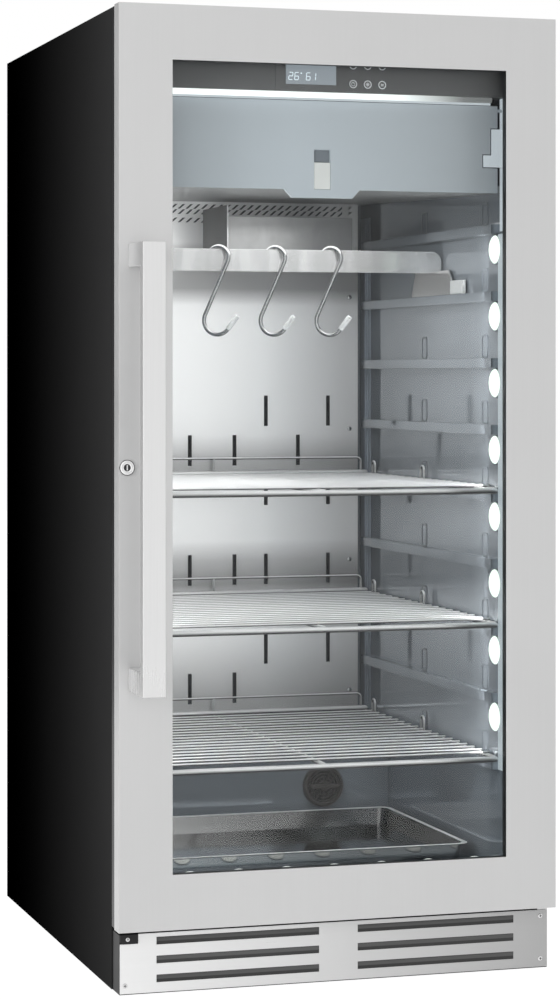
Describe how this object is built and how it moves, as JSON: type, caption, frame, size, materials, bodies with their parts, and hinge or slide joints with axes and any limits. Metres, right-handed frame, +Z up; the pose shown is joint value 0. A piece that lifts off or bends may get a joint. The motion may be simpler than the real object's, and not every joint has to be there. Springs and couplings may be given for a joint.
{
  "type": "dry aging cabinet",
  "caption": "Upright dry aging cabinet with a framed glass door, bar handle, hanging beam with S hooks, wire shelves, lamps and a control panel.",
  "frame": {"origin": "on the floor under the middle of the cabinet, handle included", "axes": "+Z up, -Y towards the front with the door and handle, +X towards the door's hinges, on the right as seen from the front"},
  "size_m": [0.595, 0.7844, 1.26],
  "materials": {
    "black_paint": "satin black powder coat",
    "brushed_steel": "fine vertical or lengthwise brushing",
    "bright_steel": "polished stainless steel",
    "zinc": "zinc plated",
    "grey_liner": "glossy blue-grey moulding",
    "flap_grey": "glossy light blue-grey",
    "dark_plastic": "dark grey",
    "black_plastic": "black",
    "key_grey": "silver grey keys",
    "display": "tinted display window",
    "lamp_white": "frosted white lamp covers, lit",
    "clear_glass": "clear tempered glass",
    "white_plastic": "white",
    "foam_yellow": "rigid foam",
    "soft_rubber": "black magnetic seal",
    "aluminium": "finned block"
  },
  "bodies": {
    "cabinet": {"left_side_panel": "black_paint", "right_side_panel": "black_paint", "top_panel": "black_paint", "rear_panel": "black_paint", "base_pan": "black_paint", "foam_insulation": "foam_yellow", "side_liner_left": "grey_liner", "side_liner_right": "grey_liner", "ceiling_liner": "grey_liner", "floor_liner": "grey_liner", "rear_liner": "grey_liner", "front_frame": "grey_liner", "steel_back_panel": "bright_steel", "fan_duct_cover": "brushed_steel", "evaporator_tray": "grey_liner", "evaporator_coil": "aluminium", "control_panel": "dark_plastic", "display_window": "display", "light_bar": "lamp_white", "lamp_strip_left": "lamp_white", "lamp_strip_right": "lamp_white", "lamp_strip_sill": "lamp_white", "hanger_beam": "brushed_steel", "compressor": "black_paint", "condenser": "aluminium", "power_inlet": "black_plastic", "plinth_panel": "brushed_steel", "spare_hinge_cap": "black_plastic", "lower_hinge_bracket": "zinc", "upper_hinge_bracket": "zinc", "foot_1": "black_plastic", "foot_2": "black_plastic", "foot_3": "black_plastic", "foot_4": "black_plastic"},
    "door": {"door_skin": "brushed_steel", "door_core": "black_plastic", "outer_glass": "clear_glass", "inner_glass": "clear_glass", "glass_spacer": "black_plastic", "door_gasket": "soft_rubber", "door_handle": "brushed_steel"},
    "lock": {"lock_cylinder": "bright_steel"},
    "flap": {"evaporator_flap": "flap_grey"},
    "latch": {"flap_latch": "white_plastic"},
    "filter": {"filter_cap": "dark_plastic"},
    "upper_shelf": {"shelf_1": "bright_steel"},
    "middle_shelf": {"shelf_2": "bright_steel"},
    "lower_shelf": {"shelf_3": "bright_steel"},
    "tray": {"drip_tray": "bright_steel"},
    "hook_left": {"meat_hook_1": "bright_steel"},
    "hook_middle": {"meat_hook_2": "bright_steel"},
    "hook_right": {"meat_hook_3": "bright_steel"},
    "chamber_fan": {"evaporator_fan": "black_plastic"},
    "bay_fan": {"condenser_fan": "black_plastic"},
    "key_power": {"key_power": "key_grey"},
    "key_light": {"key_light": "key_grey"},
    "key_set": {"key_set": "key_grey"},
    "key_up": {"key_up": "key_grey"},
    "key_down": {"key_down": "key_grey"},
    "key_humidity": {"key_humidity": "key_grey"}
  },
  "joints": [
    {"name": "door_swing", "type": "hinge", "parent": "cabinet", "child": "door", "pos_m": [0.2835, -0.2962, 0.086], "axis": [0, 0, 1], "range_deg": [0, 110]},
    {"name": "lock_turn", "type": "hinge", "parent": "door", "child": "lock", "pos_m": [-0.2872, -0.3175, 0.673], "axis": [0, 1, 0], "range_deg": [0, 90]},
    {"name": "flap_swing", "type": "hinge", "parent": "cabinet", "child": "flap", "pos_m": [0, -0.2447, 1.144], "axis": [-1, 0, 0], "range_deg": [0, 11]},
    {"name": "latch_slide", "type": "slide", "parent": "flap", "child": "latch", "axis": [0, 0, 1], "range_m": [0, 0.017]},
    {"name": "filter_turn", "type": "hinge", "parent": "cabinet", "child": "filter", "pos_m": [0.145, 0.2045, 0.179], "axis": [0, -1, 0], "range_deg": [0, 60]},
    {"name": "upper_shelf_slide", "type": "slide", "parent": "cabinet", "child": "upper_shelf", "axis": [0, -1, 0], "range_m": [0, 0.025]},
    {"name": "middle_shelf_slide", "type": "slide", "parent": "cabinet", "child": "middle_shelf", "axis": [0, -1, 0], "range_m": [0, 0.025]},
    {"name": "lower_shelf_slide", "type": "slide", "parent": "cabinet", "child": "lower_shelf", "axis": [0, -1, 0], "range_m": [0, 0.025]},
    {"name": "tray_lift", "type": "slide", "parent": "cabinet", "child": "tray", "axis": [0, 0, 1], "range_m": [0, 0.08]},
    {"name": "hook_left_swing", "type": "hinge", "parent": "cabinet", "child": "hook_left", "pos_m": [-0.082, -0.0232, 0.9648], "axis": [-1, 0, 0], "range_deg": [0, 12]},
    {"name": "hook_middle_swing", "type": "hinge", "parent": "cabinet", "child": "hook_middle", "pos_m": [0, -0.0232, 0.9648], "axis": [-1, 0, 0], "range_deg": [0, 12]},
    {"name": "hook_right_swing", "type": "hinge", "parent": "cabinet", "child": "hook_right", "pos_m": [0.082, -0.0232, 0.9648], "axis": [-1, 0, 0], "range_deg": [0, 12]},
    {"name": "chamber_fan_spin", "type": "hinge", "parent": "cabinet", "child": "chamber_fan", "pos_m": [0.0145, 0.22885, 0.984], "axis": [1, 0, 0], "continuous": true},
    {"name": "bay_fan_spin", "type": "hinge", "parent": "cabinet", "child": "bay_fan", "pos_m": [0.135, 0.3371, 0.0955], "axis": [0, 1, 0], "continuous": true},
    {"name": "key_power_press", "type": "slide", "parent": "cabinet", "child": "key_power", "axis": [0, 1, 0], "range_m": [0, 0.0008], "stiffness_N_per_m": 400},
    {"name": "key_light_press", "type": "slide", "parent": "cabinet", "child": "key_light", "axis": [0, 1, 0], "range_m": [0, 0.0008], "stiffness_N_per_m": 400},
    {"name": "key_set_press", "type": "slide", "parent": "cabinet", "child": "key_set", "axis": [0, 1, 0], "range_m": [0, 0.0008], "stiffness_N_per_m": 400},
    {"name": "key_up_press", "type": "slide", "parent": "cabinet", "child": "key_up", "axis": [0, 1, 0], "range_m": [0, 0.0008], "stiffness_N_per_m": 400},
    {"name": "key_down_press", "type": "slide", "parent": "cabinet", "child": "key_down", "axis": [0, 1, 0], "range_m": [0, 0.0008], "stiffness_N_per_m": 400},
    {"name": "key_humidity_press", "type": "slide", "parent": "cabinet", "child": "key_humidity", "axis": [0, 1, 0], "range_m": [0, 0.0008], "stiffness_N_per_m": 400}
  ]
}
